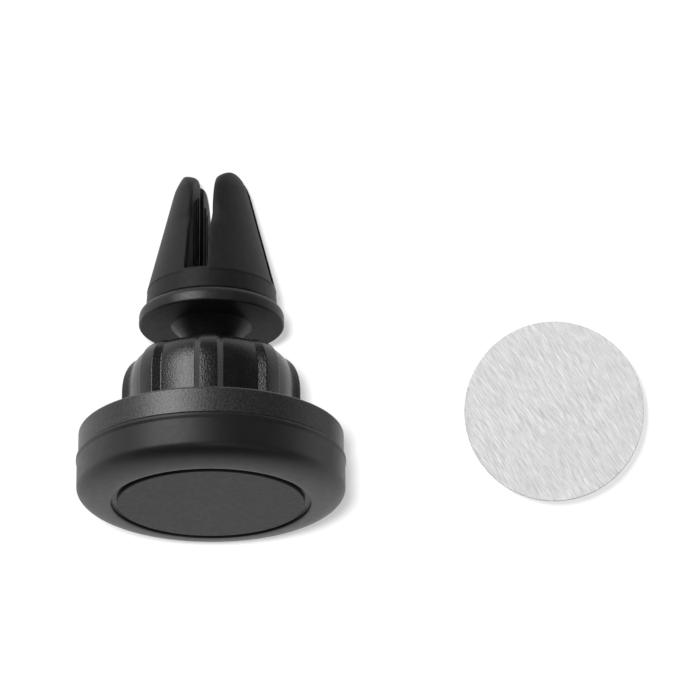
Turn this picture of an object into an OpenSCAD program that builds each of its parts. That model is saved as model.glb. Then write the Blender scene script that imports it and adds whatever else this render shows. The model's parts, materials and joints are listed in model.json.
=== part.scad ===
// Magnetic vent mount for a phone, put down on its side on a table, with its steel plate
// lying beside it.
//
// The mount's pieces are drawn about the mount's own axis: Z runs from the middle of the
// magnetic face (z = 0) to the tips of the prongs, and -Y is the side that ends up on top.
// laid_down() then rests them on the table, on the rear edge of the head and on a prong.
// The plate is drawn flat on the table.

/* [Head] */
// Diameter of the front cover
head_d = 40; // [39:0.5:42]
// Magnetic face to the rear edge of the head
head_h = 11.1; // [11:0.1:11.2]
// Magnetic face to the seam between cover and shell
seam_z = 7; // [6.8:0.1:7.2]
// How far the seam steps in from the cover to the shell
seam_step = 0.2; // [0.2:0.1:0.5]
// Height of the crowned front edge
crown_h = 2.5; // [2:0.25:3.5]
// Diameter of the face pad
pad_d = 27.9; // [26:0.1:28.4]
// Width of the groove around the face pad
pad_groove = 0.9; // [0.5:0.1:1]
// Thickness of the face pad
pad_t = 0.5; // [0.4:0.1:0.8]
// Number of magnets in the head
magnet_n = 6; // [4:1:6]
// Diameter of one magnet
magnet_d = 8; // [6:0.5:8]
// Thickness of one magnet
magnet_t = 3; // [2.6:0.1:3]

/* [Collar nut] */
// Diameter over the ribs of the nut
nut_d = 26.8; // [26.4:0.2:27.6]
// Height of the nut along its axis
nut_h = 11.6; // [11.4:0.1:11.7]
// Number of ribs round the nut
nut_ribs = 8; // [6:1:10]
// Height of one rib
rib_height = 0.9; // [0.5:0.1:1]
// Pitch of the thread
thread_pitch = 1.5; // [1.5:0.1:1.6]

/* [Ball stud] */
// Diameter of the ball
ball_d = 11; // [10.6:0.1:11]
// Magnetic face to the middle of the ball
ball_z = 18.6; // [18.5:0.1:18.7]
// Diameter of the neck behind the ball
neck_d = 6; // [5:0.2:6]
// Diameter of the flange
flange_d = 21.9; // [21:0.1:23]
// Magnetic face to the underside of the flange
flange_z = 28.4; // [28.2:0.1:28.5]
// Thickness of the flange
flange_t = 2.4; // [2.3:0.1:2.6]

/* [Claw] */
// Length of the rubber claw, base included
claw_l = 21.6; // [20:0.1:23]
// Height of the claw's base
claw_base_h = 3.5; // [3.4:0.1:3.8]
// Width of the slot for thick vent blades
wide_slot = 3.2; // [2.4:0.1:3.2]
// Width of the slot for thin vent blades
thin_slot = 1.8; // [1.4:0.1:2]
// How far the claw is turned about its axis
claw_turn = -13; // [-45:1:45]

/* [Steel plate] */
// Diameter of the steel plate
plate_d = 27.5; // [25:0.5:35]
// Thickness of the steel plate
plate_t = 0.5; // [0.3:0.1:1]
// Sideways distance from the mount's axis to the middle of the plate
plate_reach = 52; // [48:0.5:80]
// How far the plate lies towards the face end of the mount
plate_offset = 8.5; // [-10:0.5:10]

/* [Hidden] */
$fn = 96;
eps = 0.01;

// Head, from the face inwards.
head_r = head_d / 2;
shell_r = head_r - seam_step;
lip = 0.13;                        // bead round the cover's rear edge
rear_fillet = 0.4;                 // rear edge of the shell
pad_r = pad_d / 2;
recess_r = pad_r + pad_groove;
tape_t = 0.15;
recess_z = pad_t + tape_t;
front_wall = 1;
cavity_z = recess_z + front_wall;  // inside of the front wall
cover_in_r = head_r - 1.8;
spigot_fit = 0.1;
spigot_r = cover_in_r - spigot_fit;
spigot_in_r = spigot_r - 0.9;
spigot_h = 1.4;
magnet_r = magnet_d / 2;
magnet_ring_r = 10.5;
tray_t = magnet_t - 0.1;
tray_r = cover_in_r - 0.5;
yoke_z = cavity_z + magnet_t;
yoke_t = 1;
yoke_r = spigot_in_r - 0.2;
boss_z = yoke_z + yoke_t;          // top of the yoke, where bosses and socket stand
boss_r = 2.2;
boss_n = 3;
boss_ring_r = yoke_r - 2.1;
back_wall = 1.8;
shell_in_z = head_h - back_wall;
screw_r = 1;
screw_head_r = 1.9;
screw_head_h = 1.3;
screw_end_z = head_h - 0.9;

// Ball socket.
ball_r = ball_d / 2;
ball_gap = 0.05;                   // running clearance round the ball
cavity_r = ball_r + ball_gap;
foot_r = 10;
foot_in_r = 6.5;
stem_r = 9.1;                      // shoulder in the shell's hole
hole_gap = 0.05;
key_w = 2;
key_h = 1.4;
root_r = 8.2;                      // thread root and finger wall
crest_r = 9;
shoulder_z = head_h + 0.2;
seat_r = 4.6;
seat_bore_r = seat_r + 0.15;
seat_z = 11.75;
seat_rim_z = 13.9;
cone_z = 19;                       // start of the cone on the finger tips
finger_tip_z = 21.6;
finger_taper = 0.5;                // radius lost per millimetre of cone
finger_slots = 6;
finger_slot_w = 1.2;
finger_root_z = 14.2;

// Collar nut and slip ring.
nut_r = nut_d / 2;
nut_z = head_h + 0.5;
nut_top = nut_z + nut_h;
nut_bore_r = crest_r + 0.2;
nut_chamber_r = crest_r + 0.3;
nut_roof_z = nut_top - 1.3;
mouth_r = 7;
mouth_chamfer = 0.4;
nut_top_r = 9.3;                   // where the rounded shoulder ends
nut_round_z = nut_z + 5.6;         // where the rounded shoulder starts
nut_round_power = 2.4;
rib_foot_deg = 10;                 // half width of a rib at its foot
rib_top_deg = 5.5;                 // half width of a rib at its top
slip_gap = 0.08;
slip_z = 20;
slip_top = nut_roof_z - 0.05;
thread_turns = 3;
thread_z = 12.6;
thread_base_w = 0.9;
thread_tip_w = 0.4;
thread_steps = 24;                 // facets in one turn of thread

// Ball stud.
neck_r = neck_d / 2;
flange_r = flange_d / 2;
flange_top = flange_z + flange_t;
flange_round = 0.85;
cone_r = 6.1;                      // cone where it meets the flange
neck_end_z = flange_z - (cone_r - neck_r);
stud_boss_r = 3;
stud_boss_h = 0.8;
claw_screw_r = 1.25;
claw_screw_end_z = 24.5;

// Claw.
claw_gap = 0.1;                    // running gap between flange and claw
claw_z = flange_top + claw_gap;
claw_tip_z = claw_z + claw_l;
prong_z = claw_z + claw_base_h;
prong_l = claw_tip_z - prong_z;
claw_base_r = 9.95;
prong_tip_r = 5.15;
prong_taper = 4.5;
tip_round_l = 3;
tip_round = 0.6;
tip_x = 3.3;                       // apex of one prong
tip_y = 2;
ogive_l = 7.5;
ogive_r = 4.4;
core_r = 7.6;
core_top = claw_z + 2.4;
core_pin_x = 3.5;
core_pin_y = 3;
core_pin_top = claw_z + 15;
access_r = 2.3;
claw_head_z = claw_z + 1.55;
claw_head_r = 2;
claw_head_h = 1.2;
rib_r = 0.3;
rib_proud = 0.16;
rib_pitch = 1.15;
rib_n = 3;

// Steel plate stack, from the table up.
plate_r = plate_d / 2;
liner_t = 0.1;
plate_tape_t = 0.25;
plate_edge = 0.08;

// Resting pose: the table touches both the shell's rear edge and a prong.
rest_z = claw_tip_z - 2.8;         // where the prongs touch the table
rest_r = 0.979 * prong_r(rest_z);  // the slot and the domed tip take a little off the round
edge_z = head_h - rear_fillet;
edge_r = shell_r - rear_fillet;
span = norm([rest_z - edge_z, rest_r - edge_r]);
lie = asin(rear_fillet / span) + atan2(edge_r - rest_r, rest_z - edge_z);
face_height = edge_z * sin(lie) + edge_r * cos(lie) + rear_fillet;

// Footprint, which is centred on the origin.
crown_w = head_r - recess_r;
face_reach = recess_r * sin(lie) - crown_h * cos(lie)
    + norm([crown_h * cos(lie), crown_w * sin(lie)]);
tip_up = tip_x * abs(sin(claw_turn)) + tip_y * cos(claw_turn);
tip_reach = (claw_tip_z - ogive_l) * cos(lie) + tip_up * sin(lie)
    + norm([ogive_l * cos(lie), ogive_r * sin(lie)]);
mount_x = -(plate_reach + plate_r - head_r - lip) / 2;
mount_y = (face_reach - tip_reach) / 2;
plate_x = mount_x + plate_reach;
plate_y = -plate_offset;

// Radius of the prongs' outside at a height, with the tips drawn in.
function prong_r(z) =
    let (u = (claw_tip_z - z) / prong_l, v = max(0, z - claw_tip_z + tip_round_l) / tip_round_l)
    prong_tip_r + prong_taper * u - tip_round * v * v;

// Radius of a prong tip's dome about the prong's own axis.
function ogive(z) =
    let (v = max(0, z - claw_tip_z + ogive_l) / ogive_l)
    ogive_r * sqrt(max(0, 1 - v * v));

// Outside of the finger tips' cone at a height.
function finger_r(z) = root_r - finger_taper * (z - cone_z);

// Points of a circular arc.
function arc(x, y, r, from, to, n = 8) =
    [for (i = [0:n]) let (a = from + (to - from) * i / n) [x + r * cos(a), y + r * sin(a)]];

// Turns an outline of [radius, height] points about the axis.
module revolve(points) {
    rotate_extrude() polygon(points);
}

// A tube or, with no inner radius, a disc.
module tube(r, z0, z1, r_in = 0) {
    difference() {
        translate([0, 0, z0]) cylinder(r = r, h = z1 - z0);
        if (r_in > 0) translate([0, 0, z0 - eps]) cylinder(r = r_in, h = z1 - z0 + 2 * eps);
    }
}

// Copies its children around the axis.
module around(n, r, start = 0) {
    for (i = [0:n - 1]) rotate(start + i * 360 / n) translate([r, 0, 0]) children();
}

// Rests the mount on the table.
module laid_down() {
    translate([mount_x, mount_y, face_height]) rotate([-90 - lie, 0, 0]) children();
}

// Sets the plate down beside the mount.
module beside() {
    translate([plate_x, plate_y, 0]) children();
}

// One helical ridge from the radius r_base to r_tip, starting at height z0.
module thread_ridge(r_base, r_tip, z0) {
    n = thread_turns * thread_steps;
    section = [[r_base, -thread_base_w / 2], [r_tip, -thread_tip_w / 2],
               [r_tip, thread_tip_w / 2], [r_base, thread_base_w / 2]];
    points = [for (i = [0:n], p = section)
        let (a = i * 360 / thread_steps)
        [p[0] * cos(a), p[0] * sin(a), z0 + p[1] + thread_pitch * i / thread_steps]];
    sides = [for (i = [0:n - 1], k = [0:3])
        [4 * i + k, 4 * i + (k + 1) % 4, 4 * i + 4 + (k + 1) % 4, 4 * i + 4 + k]];
    faces = concat([[3, 2, 1, 0]], sides, [[4 * n, 4 * n + 1, 4 * n + 2, 4 * n + 3]]);
    facing = r_tip > r_base ? faces : [for (f = faces) [for (k = [3:-1:0]) f[k]]];
    polyhedron(points, [for (f = facing, half = [[0, 1, 2], [0, 2, 3]]) [for (k = half) f[k]]]);
}

// Crowned front cover: the recess for the pad, the rounded front edge and the side wall.
module front_cover() {
    crown = [for (i = [0:10]) let (a = 90 - 9 * i)
        [recess_r + crown_w * cos(a), crown_h * (1 - sin(a))]];
    edge = [[recess_r, 0.25], [recess_r + 0.08, 0.08]];
    side = [[head_r, seam_z - 1.6], [head_r + 0.1, seam_z - 1.1], [head_r + lip, seam_z - 0.7],
            [head_r + 0.1, seam_z - 0.3], [head_r - 0.1, seam_z], [cover_in_r, seam_z],
            [cover_in_r, cavity_z]];
    front = [for (p = crown) if (p[0] > recess_r + 0.3) p];
    color("#2b2b2b")
        revolve(concat([[0, cavity_z], [0, recess_z], [recess_r, recess_z]], edge, front, side));
}

module face_pad() {
    color("#3a3a3a")
        revolve(concat([[0, pad_t], [0, 0]], arc(pad_r - 0.25, 0.25, 0.25, -90, 0, 4),
                       [[pad_r, pad_t]]));
}

module pad_tape() {
    color("#d8d8d0") tube(pad_r - 0.35, pad_t, recess_z);
}

// Six loose discs, one node each, in the pockets of the tray.
module magnet(i) {
    chamfer = 0.2;
    z0 = cavity_z;
    z1 = cavity_z + magnet_t;
    color("silver") rotate(i * 360 / magnet_n) translate([magnet_ring_r, 0, 0])
        revolve([[0, z0], [magnet_r - chamfer, z0], [magnet_r, z0 + chamfer],
                 [magnet_r, z1 - chamfer], [magnet_r - chamfer, z1], [0, z1]]);
}

module magnet_tray() {
    color("#404040") difference() {
        tube(tray_r, cavity_z, cavity_z + tray_t, 4.5);
        translate([0, 0, cavity_z - eps]) {
            around(magnet_n, magnet_ring_r) cylinder(r = magnet_r + 0.05, h = tray_t + 1);
            around(boss_n, boss_ring_r, 30) cylinder(r = screw_head_r + 0.3, h = tray_t + 1);
        }
    }
}

module yoke_plate() {
    color("#8a8d90") difference() {
        tube(yoke_r, yoke_z, boss_z, 3);
        translate([0, 0, yoke_z - eps])
            around(boss_n, boss_ring_r, 30) cylinder(r = screw_r + 0.15, h = yoke_t + 1);
    }
}

// Pan-head screws that hold the yoke, and the socket under it, to the shell's bosses.
module yoke_screws() {
    color("#9a9a9a") around(boss_n, boss_ring_r, 30) difference() {
        union() {
            tube(screw_r, yoke_z - eps, screw_end_z);
            revolve(concat([[0, yoke_z], [0, yoke_z - screw_head_h]],
                           arc(screw_head_r - 0.5, yoke_z - screw_head_h + 0.5, 0.5, -90, 0, 4),
                           [[screw_head_r, yoke_z]]));
        }
        for (a = [0, 90]) rotate(a) translate([-1.1, -0.2, yoke_z - screw_head_h - 1])
            cube([2.2, 0.4, 1.7]);
    }
}

// Rear shell: textured side wall, back wall with the socket's hole, spigot and bosses.
module rear_shell() {
    outline = concat(
        [[spigot_in_r, seam_z - spigot_h], [spigot_r, seam_z - spigot_h], [spigot_r, seam_z],
         [shell_r, seam_z]],
        arc(edge_r, edge_z, rear_fillet, 0, 90, 6),
        [[stem_r + hole_gap, head_h], [stem_r + hole_gap, shell_in_z],
         [spigot_in_r, shell_in_z]]);
    color("#333333") difference() {
        union() {
            revolve(outline);
            around(boss_n, boss_ring_r, 30) tube(boss_r, boss_z, shell_in_z + eps);
            around(2, foot_r, 0) translate([0, -key_w / 2, shell_in_z - key_h])
                cube([1.5, key_w, key_h + eps]);
            around(2, foot_r - 0.9, 0) translate([0, -key_w / 2, shell_in_z - key_h])
                cube([1.5, key_w, key_h + eps]);
        }
        around(boss_n, boss_ring_r, 30) tube(screw_r + 0.02, boss_z - 1, screw_end_z + 0.2);
    }
}

// Ball socket: foot, threaded stem and six fingers round a spherical seat.
module ball_socket() {
    opening_z = finger_tip_z - 0.4;
    opening_r = sqrt(pow(cavity_r, 2) - pow(opening_z - ball_z, 2));
    color("#232323") difference() {
        union() {
            revolve([[0, shoulder_z - 1.2], [foot_in_r, shoulder_z - 1.2],
                     [foot_in_r, boss_z], [foot_r, boss_z], [foot_r, shell_in_z],
                     [stem_r, shell_in_z], [stem_r, shoulder_z - 0.2],
                     [stem_r - 0.2, shoulder_z], [root_r, shoulder_z], [root_r, cone_z],
                     [finger_r(finger_tip_z), finger_tip_z], [0, finger_tip_z]]);
            thread_ridge(root_r - 0.3, crest_r, thread_z);
        }
        translate([0, 0, ball_z]) sphere(r = cavity_r);
        translate([0, 0, opening_z])
            cylinder(r1 = opening_r, r2 = opening_r + 0.6, h = finger_tip_z - opening_z + 0.1);
        translate([0, 0, seat_z - 0.05]) cylinder(r = seat_bore_r, h = ball_z - seat_z - 1);
        around(finger_slots, 0) translate([0, -finger_slot_w / 2, finger_root_z])
            cube([foot_r, finger_slot_w, finger_tip_z]);
        around(2, foot_r - 1, 0)
            translate([0, -key_w / 2 - 0.05, shell_in_z - key_h - 0.05])
                cube([2, key_w + 0.1, key_h + 0.1]);
    }
}

// Silicone pad that the ball is pressed onto.
module ball_seat() {
    color("#6b6b6b") difference() {
        tube(seat_r, seat_z, seat_rim_z);
        translate([0, 0, ball_z]) sphere(r = cavity_r);
    }
}

// Acetal ring between the nut's roof and the finger tips.
module slip_ring() {
    color("#d9d4c4")
        revolve([[finger_r(slip_z) + slip_gap, slip_z], [crest_r, slip_z],
                 [crest_r, slip_top], [finger_r(slip_top) + slip_gap, slip_top]]);
}

// Outline of the nut's rounded outside, shrunk by inset.
function nut_outline(inset, bottom) = concat(
    [[0, bottom], [nut_r - inset - 0.3, bottom], [nut_r - inset, bottom + 0.3]],
    [for (i = [0:11]) let (v = sin(7.5 * i + 7.5))
        [nut_top_r + (nut_r - nut_top_r - inset) * pow(1 - pow(v, nut_round_power),
                                                     1 / nut_round_power),
         nut_round_z + (nut_top - nut_round_z - inset / 6) * v]],
    [[0, nut_top - inset / 6]]);

// Sides of one rib, which narrow towards the outside.
module rib_wedge() {
    foot_r = nut_r - rib_height;
    polygon([[0, 0], [foot_r * cos(rib_foot_deg), -foot_r * sin(rib_foot_deg)],
             [nut_r * cos(rib_top_deg), -nut_r * sin(rib_top_deg)], [nut_r + 2, 0],
             [nut_r * cos(rib_top_deg), nut_r * sin(rib_top_deg)],
             [foot_r * cos(rib_foot_deg), foot_r * sin(rib_foot_deg)]]);
}

module collar_nut() {
    step = 360 / nut_ribs;
    color("#1c1c1c") difference() {
        union() {
            revolve(nut_outline(rib_height, nut_z));
            intersection() {
                revolve(nut_outline(0, nut_z));
                for (i = [0:nut_ribs - 1]) rotate(i * step - 90)
                    translate([0, 0, nut_z - 1]) linear_extrude(nut_h + 2) rib_wedge();
            }
        }
        revolve([[0, nut_z - 1], [nut_bore_r + 1.4, nut_z - 1], [nut_bore_r, nut_z + 0.4],
                 [nut_bore_r, cone_z], [nut_chamber_r, cone_z + 0.1],
                 [nut_chamber_r, nut_roof_z], [mouth_r, nut_roof_z],
                 [mouth_r, nut_top - mouth_chamfer],
                 [mouth_r + mouth_chamfer + 0.5, nut_top + 0.5], [0, nut_top + 0.5]]);
    }
    color("#1c1c1c") nut_thread();
}

// The nut's own ridge, half a pitch away from the socket's.
module nut_thread() {
    thread_ridge(nut_bore_r + 0.3, root_r + 0.2, thread_z + thread_pitch / 2);
}

// Ball, neck, cone and flange in one moulding.
module ball_stud() {
    low_round = 0.3;
    color("#262626") difference() {
        union() {
            translate([0, 0, ball_z]) sphere(r = ball_r);
            tube(neck_r, ball_z, neck_end_z + eps);
            translate([0, 0, neck_end_z])
                cylinder(r1 = neck_r, r2 = cone_r, h = flange_z - neck_end_z + eps);
            revolve(concat([[0, flange_top], [0, flange_z]],
                           arc(flange_r - low_round, flange_z + low_round, low_round, -90, 0, 4),
                           arc(flange_r - flange_round, flange_top - flange_round,
                               flange_round, 0, 90, 6)));
            tube(stud_boss_r, flange_top - eps, flange_top + stud_boss_h);
        }
        tube(claw_screw_r + 0.02, claw_screw_end_z - 0.5, flange_top + 2);
    }
}

// Shoulder screw that holds the claw to the stud and lets it turn.
module claw_screw() {
    color("#9a9a9a") difference() {
        union() {
            tube(claw_screw_r, claw_screw_end_z, claw_head_z + eps);
            revolve(concat([[0, claw_head_z], [claw_head_r, claw_head_z]],
                           arc(claw_head_r - 0.5, claw_head_z + claw_head_h - 0.5, 0.5, 0, 90, 4),
                           [[0, claw_head_z + claw_head_h]]));
        }
        for (a = [0, 90]) rotate(a)
            translate([-1.2, -0.25, claw_head_z + claw_head_h - 0.7]) cube([2.4, 0.5, 1]);
    }
}

// Places its children once in each quarter of the claw.
module each_prong() {
    for (mx = [0, 1], my = [0, 1]) mirror([mx, 0, 0]) mirror([0, my, 0]) children();
}

// Hard pins inside the prongs, shrunk or grown by fit.
module core_pins(fit = 0) {
    each_prong() translate([core_pin_x, core_pin_y, core_top - 0.5])
        cylinder(r1 = 1.3 + fit, r2 = 0.9 + fit, h = core_pin_top - core_top + 0.5 + fit);
}

module claw_core() {
    boss_fit = 0.1;
    color("#4a4a4a") rotate(claw_turn) difference() {
        union() {
            tube(core_r, claw_z, core_top);
            core_pins();
        }
        tube(stud_boss_r + boss_fit, claw_z - 1, flange_top + stud_boss_h + 0.1);
        tube(claw_screw_r + 0.1, claw_z, core_top + 1);
        tube(claw_head_r + 0.15, claw_head_z - 0.05, core_top + 1);
    }
}

// One prong: the round outside, two flat slot walls and a domed tip.
module prong() {
    steps = 12;
    overlap = 0.3;
    outside = [for (i = [0:steps]) let (z = prong_z + prong_l * i / steps) [prong_r(z), z]];
    dome = [for (i = [0:steps]) let (v = sin(90 * i / steps), z = claw_tip_z - ogive_l * (1 - v))
        [ogive(z), z]];
    intersection() {
        revolve(concat([[0, prong_z - overlap], [prong_r(prong_z), prong_z - overlap]],
                       outside, [[0, claw_tip_z]]));
        translate([wide_slot / 2, thin_slot / 2, prong_z - overlap]) cube(20);
        translate([tip_x, tip_y, 0])
            revolve(concat([[0, prong_z - overlap], [12, prong_z - overlap],
                            [12, claw_tip_z - ogive_l - 6]], dome));
    }
}

// Grip ribs along both slot walls of one prong.
module prong_ribs() {
    for (k = [0:rib_n - 1]) {
        z1 = claw_tip_z - 3.4 - k * 0.8;
        translate([wide_slot / 2 + rib_r - rib_proud, thin_slot / 2 + 1.1 + rib_pitch * k, prong_z + 1])
            cylinder(r = rib_r, h = z1 - prong_z - 1, $fn = 24);
        translate([wide_slot / 2 + 0.9 + rib_pitch * k, thin_slot / 2 + rib_r - rib_proud, prong_z + 1])
            cylinder(r = rib_r, h = z1 - prong_z - 1, $fn = 24);
    }
}

// Rubber claw moulded round the core.
module claw_boot() {
    low_round = 0.25;
    color("#303030") rotate(claw_turn) difference() {
        union() {
            revolve(concat([[0, prong_z], [0, claw_z]],
                           arc(claw_base_r - low_round, claw_z + low_round, low_round, -90, 0, 3),
                           [[prong_r(prong_z) + 0.05, prong_z - 0.1],
                            [prong_r(prong_z) - 0.05, prong_z]]));
            each_prong() union() {
                prong();
                prong_ribs();
            }
        }
        tube(core_r, claw_z - 1, core_top);
        core_pins();
        tube(access_r, core_top - 1, prong_z + 1);
    }
}

module steel_plate() {
    z0 = liner_t + plate_tape_t;
    z1 = z0 + plate_t;
    color("#c9cacb") beside()
        revolve([[0, z0], [plate_r - plate_edge, z0], [plate_r, z0 + plate_edge],
                 [plate_r, z1 - plate_edge], [plate_r - plate_edge, z1], [0, z1]]);
}

module plate_tape() {
    color("#f0efe8") beside() tube(plate_r - 0.3, liner_t, liner_t + plate_tape_t);
}

module plate_liner() {
    color("#f8f6ee") beside() tube(plate_r - 0.1, 0, liner_t);
}

laid_down() front_cover();
laid_down() face_pad();
laid_down() pad_tape();
laid_down() magnet_tray();
laid_down() yoke_plate();
laid_down() rear_shell();
laid_down() yoke_screws();
laid_down() ball_socket();
laid_down() ball_seat();
laid_down() slip_ring();
laid_down() collar_nut();
laid_down() ball_stud();
laid_down() claw_screw();
laid_down() claw_core();
laid_down() claw_boot();
steel_plate();
plate_tape();
plate_liner();
for (i = [1:magnet_n]) laid_down() magnet(i);
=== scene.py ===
"""Looks for the magnetic vent mount and its steel plate, laid on a pale table and seen from above.

The mount's pieces are built about the mount's own axis in millimetres: Z runs from the middle of the magnetic
face to the prong tips, and -Y is the side that lies on top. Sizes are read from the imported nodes.
"""

import json
import math

import bmesh
import bpy
from mathutils import Matrix, Vector

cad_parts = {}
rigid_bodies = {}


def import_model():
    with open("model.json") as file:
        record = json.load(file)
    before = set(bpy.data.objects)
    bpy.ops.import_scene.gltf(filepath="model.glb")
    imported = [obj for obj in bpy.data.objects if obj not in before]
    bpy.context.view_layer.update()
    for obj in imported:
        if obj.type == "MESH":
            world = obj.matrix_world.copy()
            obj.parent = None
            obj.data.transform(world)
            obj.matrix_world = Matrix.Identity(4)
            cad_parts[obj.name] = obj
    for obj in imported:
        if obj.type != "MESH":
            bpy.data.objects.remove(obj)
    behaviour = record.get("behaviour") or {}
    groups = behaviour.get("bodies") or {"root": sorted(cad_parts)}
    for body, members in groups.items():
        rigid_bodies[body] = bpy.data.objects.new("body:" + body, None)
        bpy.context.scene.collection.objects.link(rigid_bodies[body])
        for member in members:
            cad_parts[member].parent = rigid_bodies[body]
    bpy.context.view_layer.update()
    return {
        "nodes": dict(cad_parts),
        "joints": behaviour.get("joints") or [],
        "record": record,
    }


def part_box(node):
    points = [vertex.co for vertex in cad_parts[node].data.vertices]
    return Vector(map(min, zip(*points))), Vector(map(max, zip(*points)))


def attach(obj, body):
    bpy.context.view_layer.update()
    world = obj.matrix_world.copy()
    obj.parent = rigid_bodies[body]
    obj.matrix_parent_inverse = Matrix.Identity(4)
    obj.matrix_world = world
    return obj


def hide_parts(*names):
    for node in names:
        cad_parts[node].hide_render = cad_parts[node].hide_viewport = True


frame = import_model()

MOUNTS = {m["name"]: m for m in frame["record"]["mounts"]}
JOINTS = {j["name"]: j for j in frame["joints"]}
MM = 0.001
SEGMENTS = 240


# ---------------------------------------------------------------- frame of the mount

def mount_frame():
    """Matrix from the mount's own millimetres to the row's metres."""
    face = MOUNTS["phone_face"]
    z = -Vector(face["axis"]).normalized()
    x = Vector((1, 0, 0))
    y = z.cross(x)
    turn = Matrix((x, y, z)).transposed().to_4x4()
    return Matrix.Translation(Vector(face["pos_m"])) @ turn @ Matrix.Scale(MM, 4)


MOUNT = mount_frame()


def extent(node):
    """Radius, lowest and highest Z of a node about the mount's axis, in millimetres."""
    back = MOUNT.inverted()
    points = [back @ v.co for v in frame["nodes"][node].data.vertices]
    radius = max(math.hypot(p.x, p.y) for p in points)
    return radius, min(p.z for p in points), max(p.z for p in points)


# ---------------------------------------------------------------- mesh helpers

def arc(x, z, r, start, end, n=8):
    """Points of a circular arc from start to end degrees, both included."""
    angles = [math.radians(start + (end - start) * i / n) for i in range(n + 1)]
    return [(x + r * math.cos(a), z + r * math.sin(a)) for a in angles]


def lathe(bm, outline, segments=SEGMENTS, wave=None):
    """Turns a closed outline of (radius, z) points about Z. wave(angle, r, z) may change a point's radius."""
    rings = []
    for r, z in outline:
        if r < 1e-6:
            rings.append([bm.verts.new((0, 0, z))])
            continue
        ring = []
        for k in range(segments):
            a = 2 * math.pi * k / segments
            rr = wave(a, r, z) if wave else r
            ring.append(bm.verts.new((rr * math.cos(a), rr * math.sin(a), z)))
        rings.append(ring)
    closed = outline[0][0] > 1e-6
    pairs = list(zip(rings, rings[1:] + ([rings[0]] if closed else [])))
    for a, b in pairs:
        for k in range(segments):
            m = (k + 1) % segments
            if len(a) == 1 and len(b) == 1:
                continue
            if len(a) == 1:
                bm.faces.new((a[0], b[m], b[k]))
            elif len(b) == 1:
                bm.faces.new((a[k], a[m], b[0]))
            else:
                bm.faces.new((a[k], a[m], b[m], b[k]))


def finish_piece(name, bm, body, node, material, place=MOUNT, sharp=40):
    """Makes the object, puts it in the row frame, hangs it on its body and hides the node it stands in for."""
    bmesh.ops.recalc_face_normals(bm, faces=bm.faces)
    mesh = bpy.data.meshes.new(name)
    bm.to_mesh(mesh)
    bm.free()
    mesh.transform(place)
    mesh.materials.append(material)
    obj = bpy.data.objects.new(name, mesh)
    bpy.context.scene.collection.objects.link(obj)
    shade(obj, sharp)
    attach(obj, body)
    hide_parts(node)
    return obj


def shade(obj, sharp):
    """Smooth shading that stays sharp over an angle and keeps flat faces flat."""
    obj.data.shade_smooth()
    obj.data.set_sharp_from_angle(angle=math.radians(sharp))
    weigh = obj.modifiers.new("weigh", "WEIGHTED_NORMAL")
    weigh.keep_sharp = True


def rounded(corners, steps=5):
    """Points of a path given as (r, z) or (r, z, fillet), with each filleted corner turned into an arc."""
    path = []
    for i, corner in enumerate(corners):
        point = Vector(corner[:2])
        if len(corner) == 2 or not 0 < i < len(corners) - 1:
            path.append(tuple(point))
            continue
        to_last = (Vector(corners[i - 1][:2]) - point)
        to_next = (Vector(corners[i + 1][:2]) - point)
        half = to_last.angle(to_next) / 2
        reach = min(corner[2] / math.tan(half), to_last.length * 0.49, to_next.length * 0.49)
        radius = reach * math.tan(half)
        middle = (to_last.normalized() + to_next.normalized()).normalized()
        centre = point + middle * (radius / math.sin(half))
        start = point + to_last.normalized() * reach - centre
        end = point + to_next.normalized() * reach - centre
        sweep = math.atan2(start.x * end.y - start.y * end.x, start.dot(end))
        for k in range(steps + 1):
            spoke = start.copy()
            spoke.rotate(Matrix.Rotation(sweep * k / steps, 2))
            path.append(tuple(centre + spoke))
    return path


def join_solids(name, solids):
    """One object from closed meshes that overlap, with what lies inside removed."""
    objects = []
    for k, bm in enumerate(solids):
        bmesh.ops.recalc_face_normals(bm, faces=bm.faces)
        mesh = bpy.data.meshes.new(f"{name}_{k}")
        bm.to_mesh(mesh)
        bm.free()
        obj = bpy.data.objects.new(f"{name}_{k}", mesh)
        bpy.context.scene.collection.objects.link(obj)
        objects.append(obj)
    for other in objects[1:]:
        cut = objects[0].modifiers.new(other.name, "BOOLEAN")
        cut.operation = "UNION"
        cut.solver = "EXACT"
        cut.object = other
    bpy.context.view_layer.update()
    graph = bpy.context.evaluated_depsgraph_get()
    whole = bmesh.new()
    whole.from_object(objects[0], graph)
    for obj in objects:
        bpy.data.objects.remove(obj)
    return whole


# ---------------------------------------------------------------- materials

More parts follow.
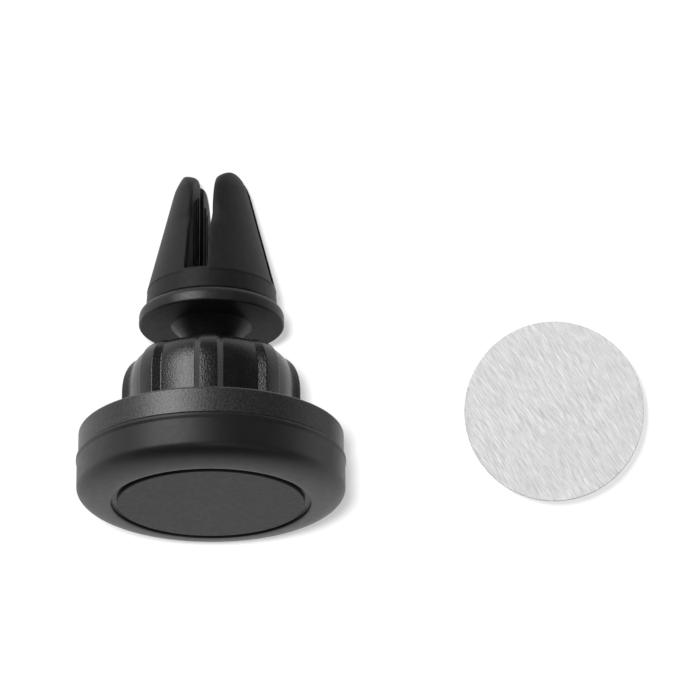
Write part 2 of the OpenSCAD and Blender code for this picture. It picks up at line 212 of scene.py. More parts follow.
class Look:
    """A Principled material with short calls for its procedural layers, all in the row's own coordinates."""

    def __init__(self, name, colour, roughness, metallic=0.0, specular=0.5):
        """Plain values, which colour() and roughness() replace where they are called."""
        self.material = bpy.data.materials.new(name)
        self.material.use_nodes = True
        self.tree = self.material.node_tree
        self.shader = self.tree.nodes["Principled BSDF"]
        self.shader.inputs["Base Color"].default_value = (*colour, 1)
        self.shader.inputs["Roughness"].default_value = roughness
        self.shader.inputs["Metallic"].default_value = metallic
        self.shader.inputs["Specular IOR Level"].default_value = specular
        self.place = self.tree.nodes.new("ShaderNodeTexCoord").outputs["Object"]
        self.normal = None

    def stretched(self, scale, turn=(0, 0, 0)):
        """Coordinates turned, then scaled differently along each axis."""
        spin = self.tree.nodes.new("ShaderNodeMapping")
        spin.inputs["Rotation"].default_value = [math.radians(a) for a in turn]
        size = self.tree.nodes.new("ShaderNodeMapping")
        size.inputs["Scale"].default_value = scale
        self.tree.links.new(self.place, spin.inputs["Vector"])
        self.tree.links.new(spin.outputs["Vector"], size.inputs["Vector"])
        return size.outputs["Vector"]

    def noise(self, size_mm, detail=2.0, rough=0.5, place=None, lumpy=0.0):
        """Noise whose features are about size_mm across, from 0 to 1."""
        node = self.tree.nodes.new("ShaderNodeTexNoise")
        node.inputs["Scale"].default_value = 1 / (size_mm * MM)
        node.inputs["Detail"].default_value = detail
        node.inputs["Roughness"].default_value = rough
        node.inputs["Distortion"].default_value = lumpy
        self.tree.links.new(place or self.place, node.inputs["Vector"])
        return node.outputs["Fac"]

    def cells(self, size_mm, smooth=0.6, place=None):
        """Rounded cells about size_mm across, from 0 at their middles."""
        node = self.tree.nodes.new("ShaderNodeTexVoronoi")
        node.feature = "SMOOTH_F1"
        node.inputs["Scale"].default_value = 1 / (size_mm * MM)
        node.inputs["Smoothness"].default_value = smooth
        self.tree.links.new(place or self.place, node.inputs["Vector"])
        return node.outputs["Distance"]

    def spread(self, value, low, high, start=0.3, end=0.7):
        """value from start..end spread over low..high."""
        node = self.tree.nodes.new("ShaderNodeMapRange")
        node.inputs["From Min"].default_value = start
        node.inputs["From Max"].default_value = end
        node.inputs["To Min"].default_value = low
        node.inputs["To Max"].default_value = high
        self.tree.links.new(value, node.inputs["Value"])
        return node.outputs["Result"]

    def colour(self, value, dark, light):
        """Base colour from dark to light as value goes from 0.3 to 0.7."""
        node = self.tree.nodes.new("ShaderNodeMix")
        node.data_type = "RGBA"
        node.inputs["A"].default_value = (*dark, 1)
        node.inputs["B"].default_value = (*light, 1)
        self.tree.links.new(self.spread(value, 0, 1), node.inputs["Factor"])
        self.tree.links.new(node.outputs["Result"], self.shader.inputs["Base Color"])

    def roughness(self, value, low, high):
        """Roughness from low to high as value goes from 0.3 to 0.7."""
        self.tree.links.new(self.spread(value, low, high), self.shader.inputs["Roughness"])

    def bump(self, value, height_mm, strength=1.0):
        """Adds relief of about height_mm."""
        node = self.tree.nodes.new("ShaderNodeBump")
        node.inputs["Distance"].default_value = height_mm * MM
        node.inputs["Strength"].default_value = strength
        self.tree.links.new(value, node.inputs["Height"])
        if self.normal:
            self.tree.links.new(self.normal, node.inputs["Normal"])
        self.normal = node.outputs["Normal"]
        self.tree.links.new(self.normal, self.shader.inputs["Normal"])


def grey(level, warm=0.0):
    """A nearly neutral colour."""
    return (level * (1 + warm), level, level * (1 - warm))


def soft_touch():
    """Matt rubbery paint of the front cover."""
    look = Look("soft_touch_rubber", grey(0.015), 0.46, specular=0.5)
    look.colour(look.noise(2.4, 3), grey(0.013), grey(0.017))
    look.roughness(look.noise(1.1, 4), 0.43, 0.49)
    look.bump(look.noise(0.10, 2), 0.006, 0.5)
    look.bump(look.noise(3.0, 1), 0.02, 0.3)
    return look.material


def face_rubber():
    """Smooth matt rubber of the face pad."""
    look = Look("face_pad_rubber", grey(0.03), 0.58, specular=0.3)
    look.colour(look.noise(5.0, 3), grey(0.028), grey(0.032))
    look.roughness(look.noise(0.8, 3), 0.54, 0.62)
    look.bump(look.noise(0.09, 2), 0.006, 0.5)
    return look.material


def textured_shell():
    """Spark-eroded plastic of the rear shell."""
    look = Look("textured_abs", grey(0.011), 0.36, specular=0.36)
    pebbles = look.noise(0.3, 3, 0.6, lumpy=0.4)
    look.colour(pebbles, grey(0.005), grey(0.028))
    look.roughness(look.noise(0.2, 2), 0.33, 0.45)
    look.bump(pebbles, 0.05, 0.8)
    look.bump(look.noise(0.12, 2), 0.012, 0.5)
    return look.material


def grained_gloss():
    """Glossy plastic of the nut with a leather grain."""
    look = Look("leather_grained_gloss", grey(0.004), 0.2, specular=0.4)
    folds = look.cells(0.24, 0.4, look.stretched((1, 1, 1)))
    look.colour(look.noise(1.5, 3), grey(0.005), grey(0.008))
    look.roughness(look.noise(0.25, 3), 0.18, 0.30)
    look.bump(folds, 0.035, 0.7)
    look.bump(look.noise(0.11, 3), 0.02, 0.6)
    return look.material


def moulded_stud():
    """Fine-grained nylon of the ball stud."""
    look = Look("moulded_nylon", grey(0.008), 0.4, specular=0.18)
    look.colour(look.noise(1.4, 3), grey(0.011), grey(0.016))
    look.roughness(look.noise(0.5, 4), 0.32, 0.46)
    look.bump(look.noise(0.16, 3), 0.012, 0.5)
    return look.material


def claw_rubber():
    """Moulded rubber of the claw."""
    look = Look("claw_rubber", grey(0.014), 0.52, specular=0.24)
    look.colour(look.noise(1.0, 4), grey(0.014), grey(0.020))
    look.roughness(look.noise(0.5, 3), 0.48, 0.57)
    look.bump(look.noise(0.13, 3), 0.014, 0.6)
    look.bump(look.noise(1.2, 2), 0.03, 0.4)
    return look.material


def plain_moulding(name, level, rough, warm=0.0):
    """Moulded plastic, silicone or acetal inside the mount."""
    look = Look(name, grey(level, warm), rough)
    look.colour(look.noise(1.6, 3), grey(level * 0.92, warm), grey(level * 1.06, warm))
    look.roughness(look.noise(0.4, 3), rough - 0.06, rough + 0.06)
    look.bump(look.noise(0.14, 2), 0.008, 0.5)
    return look.material


def plated(name, level, rough, warm, streak_mm):
    """Nickel or zinc plate with faint marks."""
    look = Look(name, grey(level, warm), rough, metallic=1.0)
    look.colour(look.noise(streak_mm, 4), grey(level * 0.9, warm), grey(level * 1.05, warm))
    look.roughness(look.noise(0.3, 4), rough - 0.07, rough + 0.09)
    look.bump(look.noise(0.09, 2), 0.003, 0.5)
    return look.material


def brushed(name, level, turn):
    """Steel brushed in short strokes along one direction."""
    look = Look(name, grey(level), 0.46, metallic=0.7)
    strokes = look.noise(1.0, 4, 0.65, look.stretched((0.5, 8.5, 1), (0, 0, turn)))
    long_strokes = look.noise(1.0, 3, 0.6, look.stretched((0.25, 4.0, 1), (0, 0, turn + 3)))
    look.colour(strokes, grey(level * 0.66), grey(level * 1.19))
    look.roughness(long_strokes, 0.42, 0.52)
    look.bump(strokes, 0.012, 0.7)
    look.bump(long_strokes, 0.008, 0.3)
    return look.material


def foam(name, level, pore_mm):
    """Closed-cell adhesive foam."""
    look = Look(name, grey(level, 0.03), 0.85, specular=0.3)
    look.colour(look.noise(pore_mm * 3, 3), grey(level * 0.93, 0.03), grey(level, 0.03))
    look.bump(look.cells(pore_mm, 0.3), 0.04, 0.6)
    return look.material


def waxed_paper():
    """Release liner, a little mottled."""
    look = Look("waxed_liner_paper", grey(0.80, 0.03), 0.5, specular=0.4)
    look.colour(look.noise(0.5, 5, 0.7), grey(0.75, 0.04), grey(0.84, 0.03))
    look.bump(look.noise(0.2, 4, 0.7), 0.01, 0.5)
    return look.material


LOOKS = {
    "soft_touch": soft_touch(),
    "face_rubber": face_rubber(),
    "textured_shell": textured_shell(),
    "nut_plastic": grained_gloss(),
    "stud_plastic": moulded_stud(),
    "claw_rubber": claw_rubber(),
    "inner_plastic": plain_moulding("glass_filled_nylon", 0.09, 0.5),
    "silicone": plain_moulding("silicone_pad", 0.28, 0.45),
    "acetal": plain_moulding("acetal_ring", 0.62, 0.35, 0.06),
    "adhesive": foam("foam_tape", 0.72, 0.22),
    "liner_paper": waxed_paper(),
    "magnet_nickel": plated("nickel_plate", 0.66, 0.2, 0.03, 1.2),
    "yoke_steel": plated("zinc_plate", 0.45, 0.38, 0.0, 2.5),
    "screw_steel": plated("screw_zinc", 0.50, 0.32, 0.0, 0.9),
    "brushed_steel": brushed("brushed_steel", 0.82, 56),
}


def dress_cad_nodes():
    """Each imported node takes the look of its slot. Those that a finer piece replaces stay hidden."""
    slots = {s["node"]: s["material_slot"] for s in frame["record"]["subparts"]}
    for name, obj in frame["nodes"].items():
        obj.data.materials.clear()
        obj.data.materials.append(LOOKS[slots[name]])
        shade(obj, 32)


# ---------------------------------------------------------------- head

COVER_R, _, SEAM = extent("front_cover")
PAD_R, _, PAD_T = extent("face_pad")
_, _, RECESS = extent("pad_tape")
SHELL_R, SPIGOT, HEAD_H = extent("rear_shell")
_, CAVITY, _ = extent("magnet_tray")
YOKE_R, _, BOSS = extent("yoke_plate")

LIP = 0.13                    # the cover's rear bead stands proud by this
GROOVE = 0.9                  # gap round the face pad
CROWN_H = 2.5                 # height of the crowned front edge
COVER_WALL = 1.8
BACK_WALL = 1.8
STEM_HOLE_R = 9.15            # hole in the shell for the socket's stem
BOSS_R = 2.2
BOSS_BORE_R = 1.02
KEY_R = 11.5                  # how far out the two keys reach


def build_cover():
    """Crowned front cover: pad recess, quarter-ellipse crown, side wall and rear bead."""
    head_r = COVER_R - LIP
    recess_r = PAD_R + GROOVE
    inside_r = head_r - COVER_WALL
    crown = [(recess_r + (head_r - recess_r) * math.cos(a), CROWN_H * (1 - math.sin(a)))
             for a in [math.radians(84 - 4 * i) for i in range(22)]]
    outline = [(0, CAVITY), (0, RECESS)]
    outline += rounded([(0, RECESS), (recess_r, RECESS, 0.12), (recess_r, 0.03, 0.22), crown[0]])[1:]
    outline += crown[1:]
    outline += [(head_r, CROWN_H + (SEAM - 1.5 - CROWN_H) * k / 5) for k in range(1, 6)]
    outline += rounded([(head_r, SEAM - 1.4), (head_r, SEAM - 0.9, 0.5), (COVER_R, SEAM - 0.45, 0.3),
                        (head_r + 0.1, SEAM - 0.12, 0.1), (head_r - 0.1, SEAM, 0.06), (head_r - 0.6, SEAM)])[1:-1]
    outline += rounded([(head_r - 0.6, SEAM), (inside_r, SEAM, 0.1), (inside_r, CAVITY, 0.3), (0, CAVITY)])[:-1]
    bm = bmesh.new()
    lathe(bm, outline)
    return finish_piece("front_cover_moulding", bm, "head", "front_cover", LOOKS["soft_touch"])


def build_face_pad():
    """Flat disc with a small rounded edge."""
    bm = bmesh.new()
    lathe(bm, [(0, PAD_T)] + [(PAD_R * k / 6, 0) for k in range(6)] + rounded(
        [(PAD_R * 5 / 6, 0), (PAD_R, 0, 0.16), (PAD_R, PAD_T, 0.05), (0, PAD_T)])[1:-1])
    return finish_piece("face_pad_disc", bm, "head", "face_pad", LOOKS["face_rubber"])


def post(x, y, r, z0, z1, bore_r, bore_z):
    """A screw boss with a blind hole from its front end."""
    bm = bmesh.new()
    outline = rounded([(bore_r, bore_z), (bore_r, z0, 0.08), (r, z0, 0.15), (r, z1)])
    lathe(bm, [(0, z1)] + [(0, bore_z)] + outline, 48)
    bmesh.ops.translate(bm, verts=bm.verts, vec=(x, y, 0))
    return bm


def block(x0, x1, y, z0, z1):
    """A key with small chamfers, y wide each way from the middle."""
    bm = bmesh.new()
    bmesh.ops.create_cube(bm, size=1)
    bmesh.ops.scale(bm, verts=bm.verts, vec=(x1 - x0, 2 * y, z1 - z0))
    bmesh.ops.translate(bm, verts=bm.verts, vec=((x0 + x1) / 2, 0, (z0 + z1) / 2))
    bmesh.ops.bevel(bm, geom=bm.edges, offset=0.12, segments=2, affect="EDGES", profile=0.5)
    return bm


def build_shell():
    """Rear shell: textured wall, back wall with the stem's hole, spigot, three bosses and two keys."""
    spigot_r = COVER_R - LIP - COVER_WALL - 0.1
    inside_r = spigot_r - 0.9
    inner_z = HEAD_H - BACK_WALL
    outline = rounded([
        (inside_r, SPIGOT + 0.5), (inside_r, SPIGOT, 0.12), (spigot_r, SPIGOT, 0.2), (spigot_r, SEAM, 0.1),
        (SHELL_R - 0.2, SEAM, 0.1), (SHELL_R, SEAM + 0.16, 0.12), (SHELL_R, HEAD_H, 0.42),
        (STEM_HOLE_R, HEAD_H, 0.25),
        (STEM_HOLE_R, inner_z, 0.15), (inside_r, inner_z, 0.4), (inside_r, SPIGOT + 0.5)])
    wall = bmesh.new()
    lathe(wall, outline[:-1])
    ring_r = YOKE_R - 2.1
    solids = [wall]
    for degrees in (30, 150, 270):
        a = math.radians(degrees)
        solids.append(post(ring_r * math.cos(a), ring_r * math.sin(a), BOSS_R, BOSS, inner_z + 0.3,
                           BOSS_BORE_R, HEAD_H - 0.7))
    for turn in (0, math.pi):
        key = block(STEM_HOLE_R, KEY_R, 1, inner_z - 1.4, inner_z + 0.3)
        bmesh.ops.rotate(key, verts=key.verts, matrix=Matrix.Rotation(turn, 3, "Z"))
        solids.append(key)
    bm = join_solids("shell", solids)
    return finish_piece("rear_shell_moulding", bm, "head", "rear_shell", LOOKS["textured_shell"])


# ---------------------------------------------------------------- collar nut

NUT_R, NUT_Z, NUT_TOP = extent("collar_nut")
NUT_RIBS = 8
NUT_RIB_H = 0.9
NUT_RIB_FOOT = 10             # half width of a rib at its foot, in degrees
NUT_RIB_TOP = 5.5             # half width of a rib at its top, in degrees
NUT_ROUND_Z = NUT_Z + 5.6     # where the rounded shoulder starts
NUT_TOP_R = 9.3               # where it ends
NUT_POWER = 2.4
NUT_BORE_R = 9.2
NUT_MOUTH_R = 7.0
NUT_ROOF = 1.3
THREAD_TIP_R = 8.4
THREAD_Z = 12.6               # where the socket's thread starts; the nut's is half a pitch on
RIM_DROP = 0.16               # how far a panel sinks at the rim, as a share of the rib height


def nut_rib_steps():
    """(angle in degrees, sunk share) from the middle of one rib over a panel to the next, edges rounded."""
    edge = NUT_R * math.radians(1)
    half_pitch = 180 / NUT_RIBS
    side = rounded([(0, 0), (NUT_RIB_TOP * edge, 0, 0.24), (NUT_RIB_FOOT * edge, NUT_RIB_H, 0.3),
                    (half_pitch * edge, NUT_RIB_H)], 6)
    crest = [(side[1][0] * k / 4, 0) for k in range(4)]
    panel = [(side[-2][0] + (side[-1][0] - side[-2][0]) * k / 8, NUT_RIB_H) for k in range(1, 9)]
    half = [(x / edge, sunk / NUT_RIB_H) for x, sunk in crest + side[1:-1] + panel]
    return half + [(2 * half_pitch - x, share) for x, share in reversed(half[:-1])]


def lathe_at(bm, outline, angles, place_at):
    """Like lathe, with its own angles in radians and its own (radius, z) at each of them."""
    rings = []
    for r, z in outline:
        ring = []
        for k, a in enumerate(angles):
            rr, zz = place_at(k, r, z)
            ring.append(bm.verts.new((rr * math.cos(a), rr * math.sin(a), zz)))
        rings.append(ring)
    for a, b in zip(rings, rings[1:] + rings[:1]):
        for k in range(len(angles)):
            m = (k + 1) % len(angles)
            bm.faces.new((a[k], a[m], b[m], b[k]))


def thread_ridge(bm, r_base, r_tip, z0, pitch, turns=3, steps=48, base_w=0.9, tip_w=0.4):
    """One helical thread ridge with closed ends."""
    section = [(r_base, -base_w / 2), (r_tip, -tip_w / 2), (r_tip, tip_w / 2), (r_base, base_w / 2)]
    rows = []
    for i in range(turns * steps + 1):
        a = 2 * math.pi * i / steps
        rows.append([bm.verts.new((r * math.cos(a), r * math.sin(a), z0 + dz + pitch * i / steps))
                     for r, dz in section])
    for a, b in zip(rows, rows[1:]):
        for k in range(4):
            bm.faces.new((a[k], a[(k + 1) % 4], b[(k + 1) % 4], b[k]))
    bm.faces.new(rows[0])
    bm.faces.new(list(reversed(rows[-1])))


def nut_outline():
    """Closed outline of the nut: outside, rounded shoulder, mouth, roof and bore."""
    shoulder = []
    for k in range(1, 15):
        v = math.sin(math.radians(6.2 * k))
        r = NUT_TOP_R + (NUT_R - NUT_TOP_R) * (1 - v ** NUT_POWER) ** (1 / NUT_POWER)
        shoulder.append((r, NUT_ROUND_Z + (NUT_TOP - NUT_ROUND_Z) * v))
    wall = [(NUT_R, NUT_Z + 0.6 + (NUT_ROUND_Z - NUT_Z - 0.6) * k / 8) for k in range(9)]
    foot = rounded([(NUT_BORE_R + 1.2, NUT_Z), (NUT_R, NUT_Z, 0.35), (NUT_R, NUT_Z + 0.6)])
    top = rounded([shoulder[-1], (NUT_TOP_R - 0.6, NUT_TOP), (NUT_MOUTH_R + 0.3, NUT_TOP, 0.12),
                   (NUT_MOUTH_R, NUT_TOP - 0.4, 0.2), (NUT_MOUTH_R, NUT_TOP - NUT_ROOF, 0.1),
                   (NUT_BORE_R + 0.1, NUT_TOP - NUT_ROOF, 0.15), (NUT_BORE_R, NUT_Z + 2, 0.1),
                   (NUT_BORE_R, NUT_Z + 0.5, 0.1), (NUT_BORE_R + 1.2, NUT_Z)])
    return foot[:-1] + wall + shoulder[:-1] + top[:-1]


def build_nut():
    """The nut with its raised ribs, which fade out over the shoulder, and its thread."""
    pitch = 360 / NUT_RIBS
    turns = [(-90 + n * pitch + degrees, share)
             for n in range(NUT_RIBS) for degrees, share in nut_rib_steps()[:-1]]
    angles = [math.radians(degrees) for degrees, _ in turns]

    def place_at(k, r, z):
        """Where an outline point goes at the k-th angle: panels sink, the bore and rim stay."""
        if r < NUT_BORE_R + 0.5 and z < NUT_TOP - 0.01 or r < NUT_TOP_R - 0.7:
            return r, z
        depth = NUT_RIB_H * turns[k][1]
        outward = min(1, max(0, (r - NUT_TOP_R) / (NUT_R - NUT_TOP_R)))
        upward = min(1, max(0, (z - NUT_ROUND_Z) / (NUT_TOP - NUT_ROUND_Z)))
        inward = min(1, max(0, (r - NUT_TOP_R + 0.6) / 0.6))
        return r - depth * outward, z - RIM_DROP * depth * upward ** 2 * inward

    bm = bmesh.new()
    lathe_at(bm, nut_outline(), angles, place_at)
    pitch_mm = frame_pitch()
    thread_ridge(bm, NUT_BORE_R + 0.3, THREAD_TIP_R, THREAD_Z + pitch_mm / 2, pitch_mm)
    return finish_piece("collar_nut_ribbed", bm, "nut", "collar_nut", LOOKS["nut_plastic"],
                        sharp=50)


def frame_pitch():
    """Thread pitch in millimetres, from the coupling of the nut's slide to its turn."""
    coupling = frame["record"]["behaviour"]["couplings"][0]
    return coupling["ratio"] * 2 * math.pi / MM


# ---------------------------------------------------------------- ball stud

FLANGE_R, STUD_LOW, STUD_TOP = extent("ball_stud")
FLANGE_T = 2.4
NECK_R = 3.0
CONE_R = 6.1
CLAW_BASE_R, CLAW_Z, CLAW_TIP = extent("claw_boot")


def build_stud():
    """Ball, neck, cone and flange turned about the mount's axis."""
    ball = (MOUNT.inverted() @ Vector(JOINTS["ball_tilt"]["pos_m"])).z
    ball_r = ball - STUD_LOW
    flange_top = CLAW_Z - 0.1
    flange_z = flange_top - FLANGE_T
    meet = math.degrees(math.asin(NECK_R / ball_r))
    ball_arc = arc(0, ball, ball_r, -90, 90 - meet, 40)
    neck = rounded([ball_arc[-1], (NECK_R, flange_z - (CONE_R - NECK_R), 0.5), (CONE_R, flange_z, 0.25),
                    (FLANGE_R, flange_z, 0.3), (FLANGE_R, flange_top - 1.5)], 6)
    rim = [(FLANGE_R - 1 + math.cos(a), flange_top - 1.1 + 1.1 * math.sin(a))
           for a in [math.radians(9 * k) for k in range(11)]]
    rim += rounded([rim[-1], (3, flange_top, 0.1), (3, STUD_TOP, 0.2), (0, STUD_TOP)], 6)[1:]
    bm = bmesh.new()
    lathe(bm, [(0, ball - ball_r)] + ball_arc[1:] + neck[1:] + rim)
    return finish_piece("ball_stud_moulding", bm, "stud", "ball_stud", LOOKS["stud_plastic"])


# ---------------------------------------------------------------- claw

WIDE_SLOT = 3.2
THIN_SLOT = 1.8
PRONG_Z = CLAW_Z + 3.5        # floor of the slots
CLAW_TURN = -13               # how the claw is turned on the stud, in degrees
PRONG_TIP_R = 5.15            # radius over the prongs at their tips
PRONG_TAPER = 4.5             # how much wider they are at their roots
TIP_ROUND = 0.6               # extra narrowing over the last 3 mm
TIP_X = 3.3                   # middle of a prong's tip
TIP_Y = 2.0
DOME_L = 7.5                  # length and radius of a tip's dome
DOME_R = 4.4
RIB_H = 0.16                  # grip ribs on the slot walls
RIB_R = 0.3
RIB_PITCH = 1.15
CORE_R = 7.6                  # hollow for the core, and the hole for its screw
SCREW_HOLE_R = 2.3


def prong_r(z):
    """Radius of the prongs' outside."""
    u = (CLAW_TIP - z) / (CLAW_TIP - PRONG_Z)
    v = max(0, z - CLAW_TIP + 3) / 3
    return PRONG_TIP_R + PRONG_TAPER * u - TIP_ROUND * v * v


def dome_r(z):
    """Radius of a prong tip's dome about the prong's own middle, which opens out below the dome."""
    v = (z - CLAW_TIP + DOME_L) / DOME_L
    return DOME_R * math.sqrt(max(0, 1 - v * v) if v > 0 else 1 + 6 * v * v)


def rib(across, z):
    """Height of the grip ribs on a slot wall, at a distance across it from its inner corner."""
    k = round((across - 1.1) / RIB_PITCH)
    if not 0 <= k <= 2 or not PRONG_Z + 1 < z < CLAW_TIP - 3.4 - k * 0.8:
        return 0
    d = abs(across - 1.1 - RIB_PITCH * k)
    return max(0, math.sqrt(max(0, RIB_R ** 2 - d * d)) - RIB_R + RIB_H)


def prong_reach(a, z):
    """Distance from the prong's middle to its skin in direction a, with the corners rounded."""
    c, s = math.cos(a), math.sin(a)
    outer = prong_r(z)
    b = TIP_X * c + TIP_Y * s
    reaches = [-b + math.sqrt(b * b - TIP_X ** 2 - TIP_Y ** 2 + outer ** 2)]
    if c < -1e-3:
        reach = (TIP_X - WIDE_SLOT / 2) / -c
        reaches.append(reach + rib(TIP_Y + s * reach - THIN_SLOT / 2, z))
    if s < -1e-3:
        reach = (TIP_Y - THIN_SLOT / 2) / -s
        reaches.append(reach + rib(TIP_X + c * reach - WIDE_SLOT / 2, z))
    reaches.append(max(dome_r(z), 0.02) * 1.02)
    soft = 16
    return sum(r ** -soft for r in reaches) ** (-1 / soft)


def prong(sign_x, sign_y):
    """One prong as a loft of rounded sections."""
    n = 220
    low = [PRONG_Z - 0.5 + (CLAW_TIP - DOME_L - PRONG_Z + 0.5) * k / 26 for k in range(26)]
    high = [CLAW_TIP - DOME_L * (1 - math.sin(math.radians(89 * k / 40))) for k in range(41)]
    bm = bmesh.new()
    rings = []
    for z in low + high:
        ring = []
        for k in range(n):
            a = 2 * math.pi * k / n
            d = prong_reach(a, z)
            ring.append(bm.verts.new((sign_x * (TIP_X + d * math.cos(a)), sign_y * (TIP_Y + d * math.sin(a)), z)))
        rings.append(ring)
    for a, b in zip(rings, rings[1:]):
        for k in range(n):
            bm.faces.new((a[k], a[(k + 1) % n], b[(k + 1) % n], b[k]))
    bm.faces.new(rings[0])
    tip = bm.verts.new((sign_x * TIP_X, sign_y * TIP_Y, CLAW_TIP))
    for k in range(n):
        bm.faces.new((rings[-1][k], rings[-1][(k + 1) % n], tip))
    return bm


def build_claw():
    """Rubber base and four prongs in one moulding, hollow for the core below."""
    core_top = CLAW_Z + 2.4
    root = prong_r(PRONG_Z)
    base = bmesh.new()
    lathe(base, rounded([
        (CORE_R, CLAW_Z), (CLAW_BASE_R, CLAW_Z, 0.35), (root + 0.03, PRONG_Z, 0.15),
        (SCREW_HOLE_R, PRONG_Z, 0.1), (SCREW_HOLE_R, core_top, 0.1), (CORE_R, core_top, 0.1),
        (CORE_R, CLAW_Z + 0.3, 0.1), (CORE_R, CLAW_Z)])[:-1])
    bm = join_solids("claw", [base] + [prong(sx, sy) for sx in (1, -1) for sy in (1, -1)])
    bmesh.ops.rotate(bm, verts=bm.verts, matrix=Matrix.Rotation(math.radians(CLAW_TURN), 3, "Z"))
    return finish_piece("claw_rubber_boot", bm, "claw", "claw_boot", LOOKS["claw_rubber"])


# ---------------------------------------------------------------- steel plate

def disc(name, node, slot, edge, sharp=40):
    """A thin round layer of the plate with a rounded edge, built in place on the table."""
    low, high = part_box(node)
    centre = (low + high) / 2
    r = (high.x - low.x) / 2 / MM
    t = (high.z - low.z) / MM
    bm = bmesh.new()
    lathe(bm, [(0, 0)] + rounded([(0, 0), (r, 0, edge), (r, t, edge), (0, t)], 4)[1:-1] + [(0, t)])
    place = Matrix.Translation((centre.x, centre.y, low.z)) @ Matrix.Scale(MM, 4)
    return finish_piece(name, bm, "plate", node, LOOKS[slot], place, sharp)


# ---------------------------------------------------------------- stage

HARD_PIECES = ("rear_shell_moulding", "collar_nut_ribbed", "ball_stud_moulding")
PLATE_PIECES = ("steel_plate_brushed", "foam_tape_disc", "liner_paper_disc")
HORIZON = 0.25                # brightness of the surroundings near the table
ROOM = 0.04                   # and overhead
TABLE_GLOW = 0.16
KEY_FROM = (-0.54, 0.585, 0.607)
KEY_W = 2.0
GLOSS_W = 3.6                 # second lamp in the key's place, for the hard mouldings only
OVERHEAD_W = 0.6
FILL_W = 0.22
SHEEN_W = 2.25
HIGH_SUN = 2.05               # suns that light the table alone
LOW_SUN = 2.1
AIM = (-1.98, 0.33, 22.2)     # what the camera looks at, in millimetres
DISTANCE = 678                # millimetres
LEAN = 2.2                    # degrees off straight down
ROLL = -0.5
FOCAL = 234.7


def light(name, kind, towards, distance, power, receivers, blockers=None, size=(0.4, 0.4), spread=8):
    """An area light or sun shining from a direction onto the receivers only."""
    lamp = bpy.data.lights.new(name, kind)
    lamp.energy = power
    if kind == "AREA":
        lamp.shape = "RECTANGLE"
        lamp.size, lamp.size_y = size
    else:
        lamp.angle = math.radians(spread)
    obj = bpy.data.objects.new(name, lamp)
    obj.location = Vector(towards).normalized() * distance
    obj.rotation_euler = Vector(towards).to_track_quat("Z", "Y").to_euler()
    obj.visible_camera = False
    obj.light_linking.receiver_collection = receivers
    if blockers:
        obj.light_linking.blocker_collection = blockers
    bpy.context.scene.collection.objects.link(obj)


def group(name, objects):
    """A collection for light linking."""
    collection = bpy.data.collections.new(name)
    for obj in objects:
        collection.objects.link(obj)
    return collection


def surround():
    """Dim room overhead, lighter towards the horizon."""
    world = bpy.data.worlds.new("studio")
    world.use_nodes = True
    tree = world.node_tree
    direction = tree.nodes.new("ShaderNodeTexCoord").outputs["Generated"]
    split = tree.nodes.new("ShaderNodeSeparateXYZ")
    tree.links.new(direction, split.inputs["Vector"])
    fade = tree.nodes.new("ShaderNodeMapRange")
    fade.interpolation_type = "SMOOTHSTEP"
    for socket, value in zip(("From Min", "From Max", "To Min", "To Max"), (0.02, 0.40, HORIZON, ROOM)):
        fade.inputs[socket].default_value = value
    tree.links.new(split.outputs["Z"], fade.inputs["Value"])
    tree.links.new(fade.outputs["Result"], tree.nodes["Background"].inputs["Strength"])
    tree.nodes["Background"].inputs["Color"].default_value = (1, 1, 1, 1)
    return world


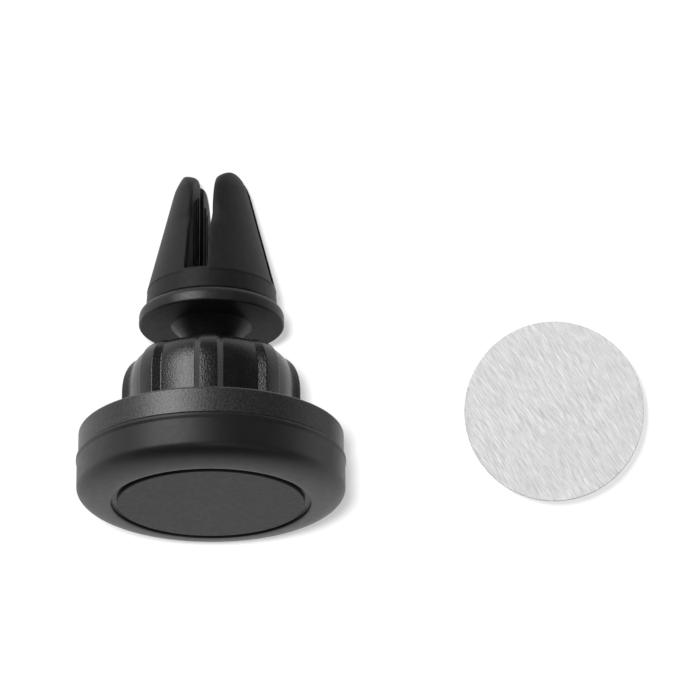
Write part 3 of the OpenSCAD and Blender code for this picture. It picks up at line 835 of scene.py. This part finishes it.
def build_table():
    """Pale matt table, a little luminous so that it stays even."""
    bm = bmesh.new()
    bmesh.ops.create_grid(bm, x_segments=1, y_segments=1, size=1.5)
    mesh = bpy.data.meshes.new("table")
    bm.to_mesh(mesh)
    bm.free()
    table = bpy.data.objects.new("table", mesh)
    table.location.z = -0.02 * MM
    bpy.context.scene.collection.objects.link(table)
    look = Look("pale_table", grey(0.80), 0.9, specular=0.1)
    look.shader.inputs["Emission Color"].default_value = (1, 1, 1, 1)
    look.shader.inputs["Emission Strength"].default_value = TABLE_GLOW
    mesh.materials.append(look.material)
    return table


def build_stage():
    """Pale table, softboxes at the upper left, overhead and right, and a long lens looking down.

    The table has suns of its own, which keep the shadows short.
    """
    scene = bpy.context.scene
    scene.view_settings.view_transform = "Standard"
    scene.world = surround()
    pieces = group("pieces", [obj for obj in scene.objects if obj.type == "MESH"])
    plate = group("plate", [obj for obj in scene.objects if obj.name in PLATE_PIECES])
    hard = group("hard", [obj for obj in scene.objects if obj.name in HARD_PIECES])
    table = group("under", [build_table()])

    light("key_upper_left", "AREA", KEY_FROM, 0.6, KEY_W, pieces, size=(0.36, 0.42))
    light("key_gloss", "AREA", KEY_FROM, 0.6, GLOSS_W, hard, size=(0.2, 0.3))
    light("overhead", "AREA", (0.05, -0.12, 1), 1.0, OVERHEAD_W, pieces, size=(0.4, 0.3))
    light("fill_right", "AREA", (0.62, -0.2, 0.75), 0.8, FILL_W, pieces, size=(0.3, 0.3))
    light("plate_sheen", "AREA", (0.1, 0.1, 1), 1.0, SHEEN_W, plate, size=(0.7, 0.7))
    light("table_high", "SUN", (-0.06, 0.06, 1), 1, HIGH_SUN, table, spread=7)
    light("table_low", "SUN", (-0.72, 0.62, 0.75), 1, LOW_SUN, table, plate, spread=25)

    lens = bpy.data.cameras.new("camera")
    lens.sensor_width = 36
    lens.lens = FOCAL
    lens.clip_end = 20
    camera = bpy.data.objects.new("camera", lens)
    scene.collection.objects.link(camera)
    lean = math.radians(LEAN)
    aim = Vector(AIM) * MM
    camera.location = aim + Vector((0, -math.sin(lean), math.cos(lean))) * DISTANCE * MM
    camera.rotation_euler = (Matrix.Rotation(lean, 3, "X") @ Matrix.Rotation(math.radians(ROLL), 3, "Z")).to_euler()
    scene.camera = camera


dress_cad_nodes()
build_cover()
build_face_pad()
build_shell()
build_nut()
build_stud()
build_claw()
disc("steel_plate_brushed", "steel_plate", "brushed_steel", 0.07)
disc("foam_tape_disc", "plate_tape", "adhesive", 0.1)
disc("liner_paper_disc", "plate_liner", "liner_paper", 0.03)
build_stage()
